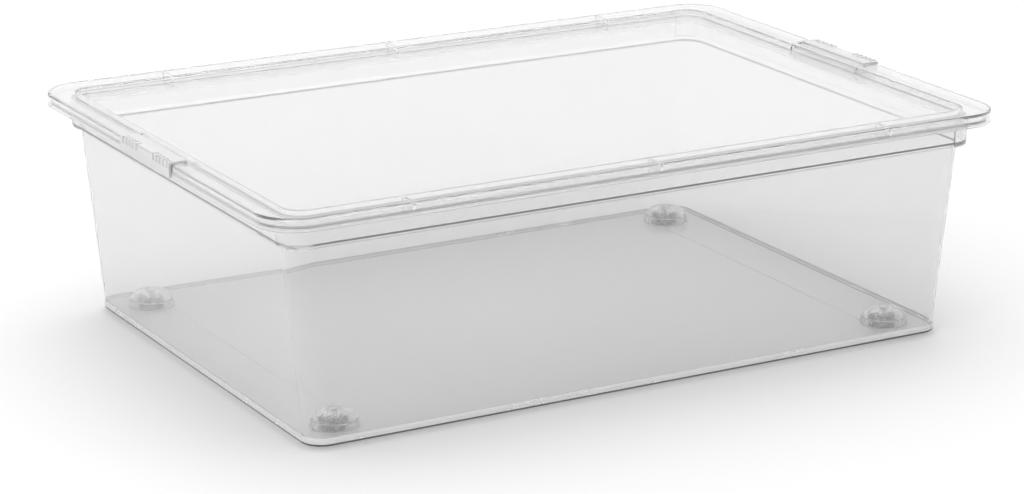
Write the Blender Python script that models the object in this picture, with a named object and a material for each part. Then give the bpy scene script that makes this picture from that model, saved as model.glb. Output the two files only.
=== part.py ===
"""Low clear storage box on four castors, with a lift-off lid and a hinged clip at each end.

Metres, +Z up. X runs along the long side, Y from front to back. The origin is in the
middle of the footprint, on the surface that the castor wheels stand on.
"""

from math import asin, cos, pi, radians, sin

import bmesh
import bpy
from mathutils import Matrix, Vector

MM = 0.001

# Overall sizes
LID_LENGTH = 550 * MM
LID_WIDTH = 385 * MM
LID_TOP = 160 * MM
LID_CORNER = 28 * MM

# Tray: a drawn box with a foot rim, an upper band and a turned-down rim
WALL = 2 * MM
FOOT_LENGTH = 485.5 * MM
FOOT_WIDTH = 342.5 * MM
FOOT_CORNER = 15 * MM
FOOT_BOTTOM = 2 * MM
FOOT_HEIGHT = 5.5 * MM
FOOT_RING = 5 * MM
FLOOR_UNDERSIDE = 3 * MM
FLOOR_TOP = 5 * MM
FLOOR_FILLET = 4 * MM
FOOT_LEDGE = 0.7 * MM
STEP_LENGTH = 510 * MM
STEP_WIDTH = 349 * MM
STEP_HEIGHT = 134 * MM
STEP_CORNER = 17 * MM
BAND_LENGTH = 519 * MM
BAND_WIDTH = 357 * MM
BAND_CORNER = 18 * MM
BAND_RISE = 2 * MM
RIM_TOP = 154.5 * MM
RIM_LIP = 3 * MM
SKIRT_CLEARANCE = 0.7 * MM
CORNER_PAD_PROUD = 1 * MM
CORNER_PAD_START = radians(35)

# Lid: a hollow raised border round a sunk panel
SKIRT_BOTTOM = 151 * MM
RECESS_CLEARANCE = 0.7 * MM
PANEL_DEPTH = 5.5 * MM
EDGE_CHAMFER = 1 * MM
RIB_SPACING = 178.5 * MM
RIB_GAP = 0.3 * MM

# Clips: one centred on each short side, hinged on stub pins
CLIP_LENGTH = 79 * MM
CLIP_PROUD = 1.3 * MM
CLIP_HINGE_IN = 10.4 * MM
CLIP_HINGE_DROP = 2.2 * MM
CLIP_KNUCKLE = 2.3 * MM
CLIP_TAIL = 1 * MM
CLIP_LEG_BOTTOM = 150.8 * MM
CLIP_CATCH_GAP = 0.3 * MM
CLIP_END_GAP = 0.5 * MM
CLIP_PIN_RADIUS = 1.2 * MM
CLIP_PIN_REACH = 2.2 * MM
CLIP_PIN_FIT = 0.08 * MM
NOTCH_IN = 14.6 * MM
GRIP_COUNT = 5
GRIP_PITCH = 5.3 * MM
GRIP_WIDTH = 2.2 * MM
GRIP_PROUD = 0.5 * MM
GRIP_REACH = 5 * MM
GRIP_END = 3.5 * MM

# Castors: twin wheels under a dome in each corner of the floor
CASTOR_X = 212.5 * MM
CASTOR_Y = 143 * MM
DOME_RADIUS = 15.8 * MM
DOME_SHOULDER = 10.6 * MM
DOME_CAP_RADIUS = 14.6 * MM
DOME_TOP = 17.4 * MM
DOME_WALL = 1.6 * MM
SOCKET_RADIUS = 3.8 * MM
SOCKET_BOTTOM = 11.8 * MM
SOCKET_ROOF = 14.9 * MM
STEM_RADIUS = 2 * MM
STEM_TOP = 14.5 * MM
RUNNING_FIT = 0.06 * MM
COLLAR_RADIUS = 3.2 * MM
COLLAR_TOP = 11.5 * MM
WHEEL_RADIUS = 6 * MM
WHEEL_WIDTH = 3.6 * MM
WHEEL_INNER_FACE = 4.4 * MM
WHEEL_EDGE = 0.9 * MM
WHEEL_BOSS = 2.2 * MM
WHEEL_DISH = 0.6 * MM
TRAIL = 2 * MM
HUB_HALF_WIDTH = 4 * MM
HUB_RADIUS = 5.2 * MM
AXLE_RADIUS = 1 * MM
AXLE_HEAD_RADIUS = 1.7 * MM
AXLE_HEAD = 0.5 * MM
AXLE_HEAD_GAP = 0.3 * MM

NOTCH_HEIGHT = 16 * MM
NOTCH_DROP = 6 * MM
CLIP_CATCH_HEIGHT = 0.5 * MM

WELD_DISTANCE = 0.001 * MM
SHARP_ANGLE = radians(30)
CORNER_STEPS = 6
DOME_STEPS = 24
WHEEL_STEPS = 24
SMALL_STEPS = 12
CAP_STEPS = 4


def clear_scene():
    for old in list(bpy.data.objects):
        bpy.data.objects.remove(old)


def material(name, colour, roughness, metallic=0.0, alpha=1.0):
    made = bpy.data.materials.new(name)
    made.use_nodes = True
    shader = made.node_tree.nodes["Principled BSDF"]
    shader.inputs["Base Color"].default_value = (*colour, 1.0)
    shader.inputs["Roughness"].default_value = roughness
    shader.inputs["Metallic"].default_value = metallic
    shader.inputs["Alpha"].default_value = alpha
    made.diffuse_color = (*colour, alpha)
    return made


def add_object(name, bm, location=(0, 0, 0), parent=None, look=None):
    """Makes an object of bm, with its faces turned outward and its round surfaces smooth."""
    bmesh.ops.recalc_face_normals(bm, faces=bm.faces)
    mesh = bpy.data.meshes.new(name)
    bm.to_mesh(mesh)
    bm.free()
    mesh.shade_smooth()
    mesh.set_sharp_from_angle(angle=SHARP_ANGLE)
    thing = bpy.data.objects.new(name, mesh)
    bpy.context.collection.objects.link(thing)
    thing.location = location
    if parent:
        thing.parent = parent
    if look:
        mesh.materials.append(look)
    return thing


def add_cutter(name, bm, location=(0, 0, 0)):
    thing = add_object(name, bm, location)
    thing.hide_render = True
    thing.display_type = "WIRE"
    return thing


def boolean(target, operand, operation):
    step = target.modifiers.new(operation.title(), "BOOLEAN")
    step.operation = operation
    step.solver = "EXACT"
    step.object = operand


def rounded_ring(bm, half_x, half_y, corner, z):
    """A ring of vertices round a rectangle with round corners, anticlockwise from +X."""
    ring = []
    signs = ((1, 1), (-1, 1), (-1, -1), (1, -1))
    for quarter, (sign_x, sign_y) in enumerate(signs):
        centre = Vector((sign_x * (half_x - corner), sign_y * (half_y - corner), z))
        for step in range(CORNER_STEPS + 1):
            angle = pi / 2 * (quarter + step / CORNER_STEPS)
            ring.append(bm.verts.new(centre + corner * Vector((cos(angle), sin(angle), 0))))
    return ring


def loft(rings):
    """A closed solid through rings given as (half_x, half_y, corner, z), capped at both ends."""
    bm = bmesh.new()
    loops = [rounded_ring(bm, *ring) for ring in rings]
    for below, above in zip(loops, loops[1:]):
        for i in range(len(below)):
            j = (i + 1) % len(below)
            bm.faces.new((below[i], below[j], above[j], above[i]))
    bm.faces.new(loops[0])
    bm.faces.new(loops[-1])
    return bm


def turned(profile, steps, axis="Z"):
    """A solid of revolution from (radius, height) points that start and end on the axis."""
    bm = bmesh.new()
    points = [bm.verts.new((radius, 0, height)) for radius, height in profile]
    edges = [bm.edges.new(pair) for pair in zip(points, points[1:])]
    bmesh.ops.spin(
        bm,
        geom=points + edges,
        cent=(0, 0, 0),
        axis=(0, 0, 1),
        angle=2 * pi,
        steps=steps,
        use_merge=True,
    )
    bmesh.ops.remove_doubles(bm, verts=bm.verts, dist=WELD_DISTANCE)
    if axis == "X":
        bmesh.ops.rotate(bm, verts=bm.verts, matrix=Matrix.Rotation(pi / 2, 3, "Y"))
    if axis == "Y":
        bmesh.ops.rotate(bm, verts=bm.verts, matrix=Matrix.Rotation(-pi / 2, 3, "X"))
    return bm


def box(size, centre=(0, 0, 0)):
    bm = bmesh.new()
    bmesh.ops.create_cube(bm, size=1, matrix=Matrix.Translation(centre) @ Matrix.Diagonal((*size, 1)))
    return bm


def extruded(outline, length):
    """A solid along Y, centred on the XZ plane, from (x, z) points in order round the outline."""
    bm = bmesh.new()
    face = bm.faces.new([bm.verts.new((x, -length / 2, z)) for x, z in outline])
    grown = bmesh.ops.extrude_face_region(bm, geom=[face])
    moved = [item for item in grown["geom"] if isinstance(item, bmesh.types.BMVert)]
    bmesh.ops.translate(bm, verts=moved, vec=(0, length, 0))
    return bm


def prism(outline, bottom, top):
    """A solid along Z, from (x, y) points in order round the outline."""
    bm = bmesh.new()
    face = bm.faces.new([bm.verts.new((x, y, bottom)) for x, y in outline])
    grown = bmesh.ops.extrude_face_region(bm, geom=[face])
    moved = [item for item in grown["geom"] if isinstance(item, bmesh.types.BMVert)]
    bmesh.ops.translate(bm, verts=moved, vec=(0, 0, top - bottom))
    return bm


def join(parts):
    """One bmesh that holds separate closed shapes, used as a single Boolean operand."""
    bm = bmesh.new()
    for part in parts:
        mesh = bpy.data.meshes.new("part")
        part.to_mesh(mesh)
        part.free()
        bm.from_mesh(mesh)
        bpy.data.meshes.remove(mesh)
    return bm


def tray_rings():
    """The tray's section, up the outside, over the rim and down the inside."""
    foot = (FOOT_LENGTH / 2, FOOT_WIDTH / 2)
    step = (STEP_LENGTH / 2, STEP_WIDTH / 2)
    band = (BAND_LENGTH / 2, BAND_WIDTH / 2)
    rim = (
        LID_LENGTH / 2 - WALL - SKIRT_CLEARANCE,
        LID_WIDTH / 2 - WALL - SKIRT_CLEARANCE,
    )
    rim_corner = LID_CORNER - WALL - SKIRT_CLEARANCE
    foot_top = FOOT_BOTTOM + FOOT_HEIGHT
    rim_underside = RIM_TOP - WALL

    def ring(halves, corner, z, inset=0.0):
        return (halves[0] - inset, halves[1] - inset, corner - inset, z)

    return [
        ring(foot, FOOT_CORNER, FLOOR_UNDERSIDE, FOOT_RING),
        ring(foot, FOOT_CORNER, FOOT_BOTTOM, FOOT_RING),
        ring(foot, FOOT_CORNER, FOOT_BOTTOM, EDGE_CHAMFER / 2),
        ring(foot, FOOT_CORNER, FOOT_BOTTOM + EDGE_CHAMFER / 2),
        ring(foot, FOOT_CORNER, foot_top - EDGE_CHAMFER),
        ring(foot, FOOT_CORNER, foot_top, FOOT_LEDGE),
        ring(step, STEP_CORNER, STEP_HEIGHT),
        ring(band, BAND_CORNER, STEP_HEIGHT + BAND_RISE),
        ring(band, BAND_CORNER, rim_underside),
        ring(rim, rim_corner, rim_underside, WALL),
        ring(rim, rim_corner, RIM_TOP - RIM_LIP, WALL),
        ring(rim, rim_corner, RIM_TOP - RIM_LIP),
        ring(rim, rim_corner, RIM_TOP - EDGE_CHAMFER),
        ring(rim, rim_corner, RIM_TOP, EDGE_CHAMFER),
        ring(band, BAND_CORNER, RIM_TOP, WALL),
        ring(band, BAND_CORNER, STEP_HEIGHT + 2 * BAND_RISE, WALL),
        ring(step, STEP_CORNER, STEP_HEIGHT + BAND_RISE, WALL),
        ring(foot, FOOT_CORNER, FLOOR_TOP + FLOOR_FILLET, FOOT_LEDGE + WALL),
        ring(foot, FOOT_CORNER, FLOOR_TOP + FLOOR_FILLET / 4, FOOT_LEDGE + WALL + FLOOR_FILLET / 4),
        ring(foot, FOOT_CORNER, FLOOR_TOP, FOOT_LEDGE + WALL + FLOOR_FILLET),
    ]


def dome_profile():
    """The outside of a castor dome, with a shoulder part of the way up."""
    points = [(0, FLOOR_UNDERSIDE + WALL / 2)]
    points.append((DOME_RADIUS, FLOOR_UNDERSIDE + WALL / 2))
    points.append((DOME_RADIUS, DOME_SHOULDER - EDGE_CHAMFER))
    points.append((DOME_RADIUS - EDGE_CHAMFER, DOME_SHOULDER))
    for step in range(CAP_STEPS + 1):
        angle = pi / 2 * step / CAP_STEPS
        height = DOME_SHOULDER + (DOME_TOP - DOME_SHOULDER) * sin(angle)
        points.append((DOME_CAP_RADIUS * cos(angle), height))
    points[-1] = (0, DOME_TOP)
    return points


def pocket_profile():
    """The space inside a dome, round the hanging socket and up its bore."""
    wide = DOME_RADIUS - DOME_WALL
    cap = DOME_CAP_RADIUS - DOME_WALL
    shoulder = DOME_SHOULDER - DOME_WALL / 2
    cap_rise = DOME_TOP - DOME_WALL - shoulder
    last_angle = pi / 2 - asin(SOCKET_RADIUS / cap)
    bore = STEM_RADIUS + RUNNING_FIT
    points = [(0, -WALL), (wide, -WALL), (wide, shoulder)]
    for step in range(CAP_STEPS + 1):
        angle = last_angle * step / CAP_STEPS
        points.append((cap * cos(angle), shoulder + cap_rise * sin(angle)))
    points.append((SOCKET_RADIUS, SOCKET_BOTTOM))
    points.append((bore, SOCKET_BOTTOM))
    points.append((bore, SOCKET_ROOF))
    points.append((0, SOCKET_ROOF))
    return points


def corner_pads():
    """Pads slightly proud of the band, on the long-side half of each of its four corners."""
    outer = BAND_CORNER + CORNER_PAD_PROUD
    inner = BAND_CORNER - WALL / 2
    sweep = pi / 2 - CORNER_PAD_START
    arc = [CORNER_PAD_START + sweep * step / CORNER_STEPS for step in range(CORNER_STEPS + 1)]
    outline = [(outer * cos(angle), outer * sin(angle)) for angle in arc]
    outline += [(inner * cos(angle), inner * sin(angle)) for angle in reversed(arc)]
    parts = []
    for sign_x in (-1, 1):
        for sign_y in (-1, 1):
            middle_x = sign_x * (BAND_LENGTH / 2 - BAND_CORNER)
            middle_y = sign_y * (BAND_WIDTH / 2 - BAND_CORNER)
            places = [(middle_x + sign_x * x, middle_y + sign_y * y) for x, y in outline]
            parts.append(prism(places, STEP_HEIGHT + BAND_RISE / 2, RIM_TOP - WALL / 2))
    return parts


def castor_places():
    """Name and centre of each castor, from the front left."""
    rows = (("front", -CASTOR_Y), ("back", CASTOR_Y))
    sides = (("left", -CASTOR_X), ("right", CASTOR_X))
    return [(f"{row}_{side}", x, y) for row, y in rows for side, x in sides]


def make_tray(look):
    tray = add_object("tray", loft(tray_rings()), look=look)
    boolean(tray, add_cutter("corner_pads", join(corner_pads())), "UNION")
    for name, x, y in castor_places():
        dome = add_cutter(f"{name}_dome", turned(dome_profile(), DOME_STEPS), (x, y, 0))
        boolean(tray, dome, "UNION")
    for name, x, y in castor_places():
        pocket = add_cutter(f"{name}_pocket", turned(pocket_profile(), DOME_STEPS), (x, y, 0))
        boolean(tray, pocket, "DIFFERENCE")
    return tray


def recess_halves():
    """Half the length and width of the sunk wall's outer face, which drops inside the tray's band."""
    inset = WALL + RECESS_CLEARANCE
    return BAND_LENGTH / 2 - inset, BAND_WIDTH / 2 - inset


def lid_rings():
    """The lid's section, from the sunk panel over the border to the underside."""
    panel_top = LID_TOP - PANEL_DEPTH
    recess = recess_halves()
    recess_corner = BAND_CORNER - WALL - RECESS_CLEARANCE

    def border(inset, z):
        return (LID_LENGTH / 2 - inset, LID_WIDTH / 2 - inset, LID_CORNER - inset, z)

    def sunk(inset, z):
        return (recess[0] - inset, recess[1] - inset, recess_corner - inset, z)

    return [
        sunk(WALL, panel_top),
        sunk(WALL, LID_TOP - EDGE_CHAMFER / 2),
        sunk(WALL - EDGE_CHAMFER / 2, LID_TOP),
        border(EDGE_CHAMFER, LID_TOP),
        border(0, LID_TOP - EDGE_CHAMFER),
        border(0, SKIRT_BOTTOM),
        border(WALL, SKIRT_BOTTOM),
        border(WALL, LID_TOP - WALL),
        sunk(0, LID_TOP - WALL),
        sunk(0, panel_top - WALL),
    ]


def lid_ribs():
    """Cross ribs inside the long borders, which rest the lid on the tray's rim."""
    bottom = RIM_TOP + RIB_GAP
    height = LID_TOP - WALL / 2 - bottom
    inner = recess_halves()[1] - WALL / 2
    outer = LID_WIDTH / 2 - WALL / 2
    size = (WALL, outer - inner, height)
    parts = []
    for place in (-RIB_SPACING, 0, RIB_SPACING):
        for sign in (-1, 1):
            parts.append(box(size, (place, sign * (inner + outer) / 2, bottom + height / 2)))
    return parts


def notch_walls():
    """Walls that close the border at both ends of each clip's notch."""
    bottom = RIM_TOP + RIB_GAP
    height = LID_TOP - WALL / 2 - bottom
    inner = recess_halves()[0] - WALL / 2
    outer = LID_LENGTH / 2 - WALL / 2
    middle_y = CLIP_LENGTH / 2 + CLIP_END_GAP + WALL / 2
    size = (outer - inner, WALL, height)
    parts = []
    for sign_x in (-1, 1):
        for sign_y in (-1, 1):
            centre = (sign_x * (inner + outer) / 2, sign_y * middle_y, bottom + height / 2)
            parts.append(box(size, centre))
    return parts


def clip_axis(sign):
    """The hinge axis of the clip at one end of the lid, which runs along Y."""
    return Vector((sign * (LID_LENGTH / 2 - CLIP_HINGE_IN), 0, LID_TOP - CLIP_HINGE_DROP))


def notches():
    """Cutters for the two clip notches and the four holes for the clips' pins."""
    deep = NOTCH_IN + WALL
    size = (deep, CLIP_LENGTH + 2 * CLIP_END_GAP, NOTCH_HEIGHT)
    hole = CLIP_PIN_RADIUS + CLIP_PIN_FIT
    half = CLIP_LENGTH / 2 + CLIP_END_GAP + 2 * WALL
    parts = []
    for sign in (-1, 1):
        middle = sign * (LID_LENGTH / 2 - NOTCH_IN + deep / 2)
        parts.append(box(size, (middle, 0, LID_TOP - NOTCH_DROP)))
        profile = [(0, -half), (hole, -half), (hole, half), (0, half)]
        bore = turned(profile, SMALL_STEPS, "Y")
        bmesh.ops.translate(bore, verts=bore.verts, vec=clip_axis(sign))
        parts.append(bore)
    return parts


def make_lid(look):
    lid = add_object("lid", loft(lid_rings()), look=look)
    boolean(lid, add_cutter("lid_ribs", join(lid_ribs() + notch_walls())), "UNION")
    for part in notches():
        boolean(lid, add_cutter("notch", part), "DIFFERENCE")
    return lid


def clip_outline(sign):
    """The clip's section about its hinge axis, from the tail along the top to the catch."""
    axis_x = LID_LENGTH / 2 - CLIP_HINGE_IN
    axis_z = LID_TOP - CLIP_HINGE_DROP
    top = LID_TOP + CLIP_PROUD - axis_z
    outer = LID_LENGTH / 2 + CLIP_PROUD - axis_x
    bottom = CLIP_LEG_BOTTOM - axis_z
    catch = LID_LENGTH / 2 - WALL - SKIRT_CLEARANCE + CLIP_CATCH_GAP - axis_x
    points = [
        (-CLIP_TAIL, top),
        (outer - EDGE_CHAMFER, top),
        (outer, top - EDGE_CHAMFER),
        (outer, bottom),
        (outer - WALL, bottom),
        (catch, bottom + EDGE_CHAMFER),
        (catch, bottom + EDGE_CHAMFER + CLIP_CATCH_HEIGHT),
        (outer - WALL, bottom + 2 * EDGE_CHAMFER + CLIP_CATCH_HEIGHT),
        (outer - WALL, top - WALL),
    ]
    start = asin((top - WALL) / CLIP_KNUCKLE)
    end = -pi - asin((CLIP_KNUCKLE**2 - CLIP_TAIL**2) ** 0.5 / CLIP_KNUCKLE)
    for step in range(SMALL_STEPS + 1):
        angle = start + (end - start) * step / SMALL_STEPS
        points.append((CLIP_KNUCKLE * cos(angle), CLIP_KNUCKLE * sin(angle)))
    return [(sign * x, z) for x, z in points]


def clip_grips(sign):
    """Two groups of ribs that wrap the clip's top outer edge."""
    axis = clip_axis(1)
    top = LID_TOP + CLIP_PROUD - axis.z
    outer = LID_LENGTH / 2 + CLIP_PROUD - axis.x
    first = CLIP_LENGTH / 2 - GRIP_END - GRIP_WIDTH / 2
    size = (GRIP_REACH, GRIP_WIDTH, GRIP_REACH)
    middle_x = sign * (outer + GRIP_PROUD - GRIP_REACH / 2)
    middle_z = top + GRIP_PROUD - GRIP_REACH / 2
    parts = []
    for end in (-1, 1):
        for count in range(GRIP_COUNT):
            place = end * (first - count * GRIP_PITCH)
            parts.append(box(size, (middle_x, place, middle_z)))
    return parts


def make_clip(name, sign, look):
    axis = clip_axis(sign)
    clip = add_object(name, extruded(clip_outline(sign), CLIP_LENGTH), axis, look=look)
    boolean(clip, add_cutter(f"{name}_grips", join(clip_grips(sign)), axis), "UNION")
    half = CLIP_LENGTH / 2 + CLIP_PIN_REACH
    profile = [(0, -half), (CLIP_PIN_RADIUS, -half), (CLIP_PIN_RADIUS, half), (0, half)]
    pins = add_cutter(f"{name}_pins", turned(profile, SMALL_STEPS, "Y"), axis)
    boolean(clip, pins, "UNION")


def wheel_profile():
    """A wheel about its axis, with a bore, dished faces and a bevelled tread."""
    half = WHEEL_WIDTH / 2
    side = [
        (AXLE_RADIUS + RUNNING_FIT, half),
        (WHEEL_BOSS, half),
        (WHEEL_BOSS + WHEEL_DISH, half - WHEEL_DISH),
        (WHEEL_RADIUS - WHEEL_EDGE - WHEEL_DISH, half - WHEEL_DISH),
        (WHEEL_RADIUS - WHEEL_EDGE, half),
        (WHEEL_RADIUS, half - WHEEL_EDGE),
    ]
    return side + [(radius, -height) for radius, height in reversed(side)]


def ring_turned(profile, steps):
    """A closed ring of revolution about X, from (radius, x) points round its section."""
    bm = bmesh.new()
    points = [bm.verts.new((x, 0, radius)) for radius, x in profile]
    edges = [bm.edges.new(pair) for pair in zip(points, points[1:] + points[:1])]
    bmesh.ops.spin(
        bm,
        geom=points + edges,
        cent=(0, 0, 0),
        axis=(1, 0, 0),
        angle=2 * pi,
        steps=steps,
        use_merge=True,
    )
    bmesh.ops.remove_doubles(bm, verts=bm.verts, dist=WELD_DISTANCE)
    return bm


def axle_profile():
    end = WHEEL_INNER_FACE + WHEEL_WIDTH + AXLE_HEAD_GAP
    tip = end + AXLE_HEAD
    return [
        (0, -tip),
        (AXLE_HEAD_RADIUS, -tip),
        (AXLE_HEAD_RADIUS, -end),
        (AXLE_RADIUS, -end),
        (AXLE_RADIUS, end),
        (AXLE_HEAD_RADIUS, end),
        (AXLE_HEAD_RADIUS, tip),
        (0, tip),
    ]


def stem_profile():
    low = WHEEL_RADIUS
    return [
        (0, low),
        (COLLAR_RADIUS, low),
        (COLLAR_RADIUS, COLLAR_TOP),
        (STEM_RADIUS, COLLAR_TOP),
        (STEM_RADIUS, STEM_TOP - EDGE_CHAMFER / 2),
        (STEM_RADIUS - EDGE_CHAMFER / 2, STEM_TOP),
        (0, STEM_TOP),
    ]


def make_castor(name, x, y, looks):
    """A castor on its swivel axis: a body with its stem, an axle and two wheels."""
    swivel = bpy.data.objects.new(f"castor_{name}", None)
    swivel.location = (x, y, 0)
    bpy.context.collection.objects.link(swivel)
    axle_place = (0, TRAIL, WHEEL_RADIUS)

    half = HUB_HALF_WIDTH
    hub_section = [
        (0, -half),
        (HUB_RADIUS - EDGE_CHAMFER, -half),
        (HUB_RADIUS, -half + EDGE_CHAMFER),
        (HUB_RADIUS, half - EDGE_CHAMFER),
        (HUB_RADIUS - EDGE_CHAMFER, half),
        (0, half),
    ]
    hub = turned(hub_section, WHEEL_STEPS, "X")
    bmesh.ops.translate(hub, verts=hub.verts, vec=axle_place)
    body = add_object(f"castor_{name}_body", hub, parent=swivel, look=looks["castor"])
    stem = add_cutter(f"{name}_stem", turned(stem_profile(), SMALL_STEPS))
    stem.parent = swivel
    reach = 2 * HUB_HALF_WIDTH
    radius = AXLE_RADIUS + RUNNING_FIT
    bore_section = [(0, -reach), (radius, -reach), (radius, reach), (0, reach)]
    bore = add_cutter(f"{name}_bore", turned(bore_section, SMALL_STEPS, "X"), axle_place)
    bore.parent = swivel
    boolean(body, stem, "UNION")
    boolean(body, bore, "DIFFERENCE")

    axle = turned(axle_profile(), SMALL_STEPS, "X")
    add_object(f"castor_{name}_axle", axle, axle_place, swivel, looks["axle"])
    offset = WHEEL_INNER_FACE + WHEEL_WIDTH / 2
    for side, sign in (("left", -1), ("right", 1)):
        place = (sign * offset, TRAIL, WHEEL_RADIUS)
        wheel = ring_turned(wheel_profile(), WHEEL_STEPS)
        add_object(f"castor_{name}_wheel_{side}", wheel, place, swivel, looks["wheel"])


def main():
    clear_scene()
    clear = (0.90, 0.91, 0.92)
    looks = {
        "tray": material("clear_polypropylene_tray", clear, 0.12, alpha=0.35),
        "lid": material("clear_polypropylene_lid", (0.93, 0.94, 0.95), 0.10, alpha=0.35),
        "clip": material("clear_polypropylene_clip", (0.88, 0.89, 0.90), 0.15, alpha=0.45),
        "castor": material("clear_polycarbonate_body", (0.80, 0.81, 0.82), 0.20, alpha=0.6),
        "wheel": material("clear_polycarbonate_wheel", (0.70, 0.71, 0.72), 0.25, alpha=0.7),
        "axle": material("steel_axle", (0.62, 0.62, 0.63), 0.30, metallic=1.0),
    }
    make_tray(looks["tray"])
    make_lid(looks["lid"])
    make_clip("clip_left", -1, looks["clip"])
    make_clip("clip_right", 1, looks["clip"])
    for name, x, y in castor_places():
        make_castor(name, x, y, looks)


main()
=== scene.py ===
# %% [markdown]
# # A low clear storage box on castors
#
# The real object is an underbed storage box, injection moulded in clear polypropylene: a
# tapered tray on a foot rim, a lift-off lid with a hollow border, a clip hinged at each short
# side, and a small twin-wheel castor under a dome in each corner of the floor.
#
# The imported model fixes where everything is. It could be shown as it is, but its edges are
# plain, and clear plastic shows little but its edges. So this lesson loads it, builds a finer
# visible piece for each moulding in the same place, and gives every piece its finish.

# %% Load the frame
from math import asin, atan2, cos, pi, radians, sin

import bmesh
import bpy
from mathutils import Matrix, Vector


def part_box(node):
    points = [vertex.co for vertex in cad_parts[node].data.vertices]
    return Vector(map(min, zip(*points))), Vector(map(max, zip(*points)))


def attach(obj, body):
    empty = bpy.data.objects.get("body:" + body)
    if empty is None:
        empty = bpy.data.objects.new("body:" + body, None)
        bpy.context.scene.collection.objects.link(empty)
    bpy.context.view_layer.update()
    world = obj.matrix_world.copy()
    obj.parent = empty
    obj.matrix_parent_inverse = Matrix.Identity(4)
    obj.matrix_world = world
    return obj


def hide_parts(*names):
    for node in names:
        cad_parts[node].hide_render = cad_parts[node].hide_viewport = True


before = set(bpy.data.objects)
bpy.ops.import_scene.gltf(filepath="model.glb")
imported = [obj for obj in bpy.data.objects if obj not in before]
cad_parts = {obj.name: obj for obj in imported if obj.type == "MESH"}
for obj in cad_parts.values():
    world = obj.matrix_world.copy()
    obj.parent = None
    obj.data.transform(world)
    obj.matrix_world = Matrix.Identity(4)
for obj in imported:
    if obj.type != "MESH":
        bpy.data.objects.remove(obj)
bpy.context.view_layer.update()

MM = 0.001

# %% [markdown]
# ## The camera
#
# A long lens from a few metres away keeps the box's edges nearly parallel, as a catalogue
# view does. It is placed by an angle round the box, an angle above the floor and a distance,
# because those three are easier to think about than coordinates.

# %% Place the camera
CAMERA_AZIMUTH = radians(-29.378)
CAMERA_ELEVATION = radians(16.968)
CAMERA_DISTANCE = 2.3596
CAMERA_ASIDE = -0.00202
CAMERA_ABOVE = 0.05085
LENS = 118.34

camera_data = bpy.data.cameras.new("long_lens")
camera_data.lens = LENS
camera = bpy.data.objects.new("camera", camera_data)
bpy.context.scene.collection.objects.link(camera)
bpy.context.scene.camera = camera

backward = Vector((
    sin(CAMERA_AZIMUTH) * cos(CAMERA_ELEVATION),
    -cos(CAMERA_AZIMUTH) * cos(CAMERA_ELEVATION),
    sin(CAMERA_ELEVATION),
))
rightward = Vector((cos(CAMERA_AZIMUTH), sin(CAMERA_AZIMUTH), 0))
upward = backward.cross(rightward)
camera_turn = Matrix((rightward, upward, backward)).transposed()
camera_spot = backward * CAMERA_DISTANCE + rightward * CAMERA_ASIDE + upward * CAMERA_ABOVE
camera.matrix_world = Matrix.Translation(camera_spot) @ camera_turn.to_4x4()
print("camera at", [round(x, 3) for x in camera_spot])

# %% [markdown]
# ## Rounded outlines
#
# Every level of the tray and the lid is the same shape: a rectangle with round corners. It
# could be worked out point by point, but a one-face grid with its corners bevelled is already
# that shape, so the helper scales the grid, bevels its four vertices and keeps the outline.

# %% Draw one rounded outline
CORNER_SEGMENTS = 12


def outline(bm, half_x, half_y, corner, z):
    """The edges of a rounded rectangle at one height."""
    corners = bmesh.ops.create_grid(bm, x_segments=1, y_segments=1, size=1)["verts"]
    bmesh.ops.scale(bm, verts=corners, vec=(half_x, half_y, 1))
    bmesh.ops.translate(bm, verts=corners, vec=(0, 0, z))
    rounded = bmesh.ops.bevel(
        bm,
        geom=corners,
        offset=corner,
        segments=CORNER_SEGMENTS,
        profile=0.5,
        affect="VERTICES",
        material=-1,
    )
    face = rounded["verts"][0].link_faces[0]
    edges = list(face.edges)
    bmesh.ops.delete(bm, geom=[face], context="FACES_ONLY")
    return edges


# %% [markdown]
# ## A shell from its section
#
# A moulded shell is its section carried round the outline. Each row of the section gives an
# inset, a height and the radius that the mould leaves on that edge. Bridging separate
# outlines can twist the walls, so each outline is extruded from the one before and redrawn.
# Bevelling the marked edges makes the radii, which matter more on clear plastic than anywhere
# else, because an edge shows only by the light that its radius bends.

# %% Loft a shell and round its edges
MICRON = 1e-6
FILLET_SEGMENTS = 6


def redraw(verts, old, new):
    """Moves the points of one outline to where the next outline has them."""
    for vert in verts:
        side = Vector((1 if vert.co.x > 0 else -1, 1 if vert.co.y > 0 else -1))
        old_centre = side * Vector((old[0] - old[2], old[1] - old[2]))
        new_centre = side * Vector((new[0] - new[2], new[1] - new[2]))
        outward = (vert.co.xy - old_centre) / old[2]
        vert.co = (*(new_centre + outward * new[2]), new[3])


def shell(rows):
    """A closed solid through (half_x, half_y, corner, z, radius) rows, all in metres."""
    bm = bmesh.new()
    radius_mark = bm.edges.layers.int.new("radius")
    loops = [outline(bm, *rows[0][:4])]
    for old, new in zip(rows, rows[1:]):
        grown = bmesh.ops.extrude_edge_only(bm, edges=loops[-1])["geom"]
        redraw([item for item in grown if isinstance(item, bmesh.types.BMVert)], old, new)
        loops.append([item for item in grown if isinstance(item, bmesh.types.BMEdge)])
    for end in (loops[0], loops[-1]):
        bmesh.ops.edgeloop_fill(bm, edges=end)
    for edge in bm.edges:
        edge[radius_mark] = 0
    for row, edges in zip(rows, loops):
        for edge in edges:
            edge[radius_mark] = round(row[4] / MICRON)
    marks = sorted({edge[radius_mark] for edge in bm.edges} - {0})
    for mark in marks:
        bmesh.ops.bevel(
            bm,
            geom=[edge for edge in bm.edges if edge[radius_mark] == mark],
            offset=mark * MICRON,
            segments=FILLET_SEGMENTS,
            profile=0.5,
            affect="EDGES",
            material=-1,
        )
    return bm


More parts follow.
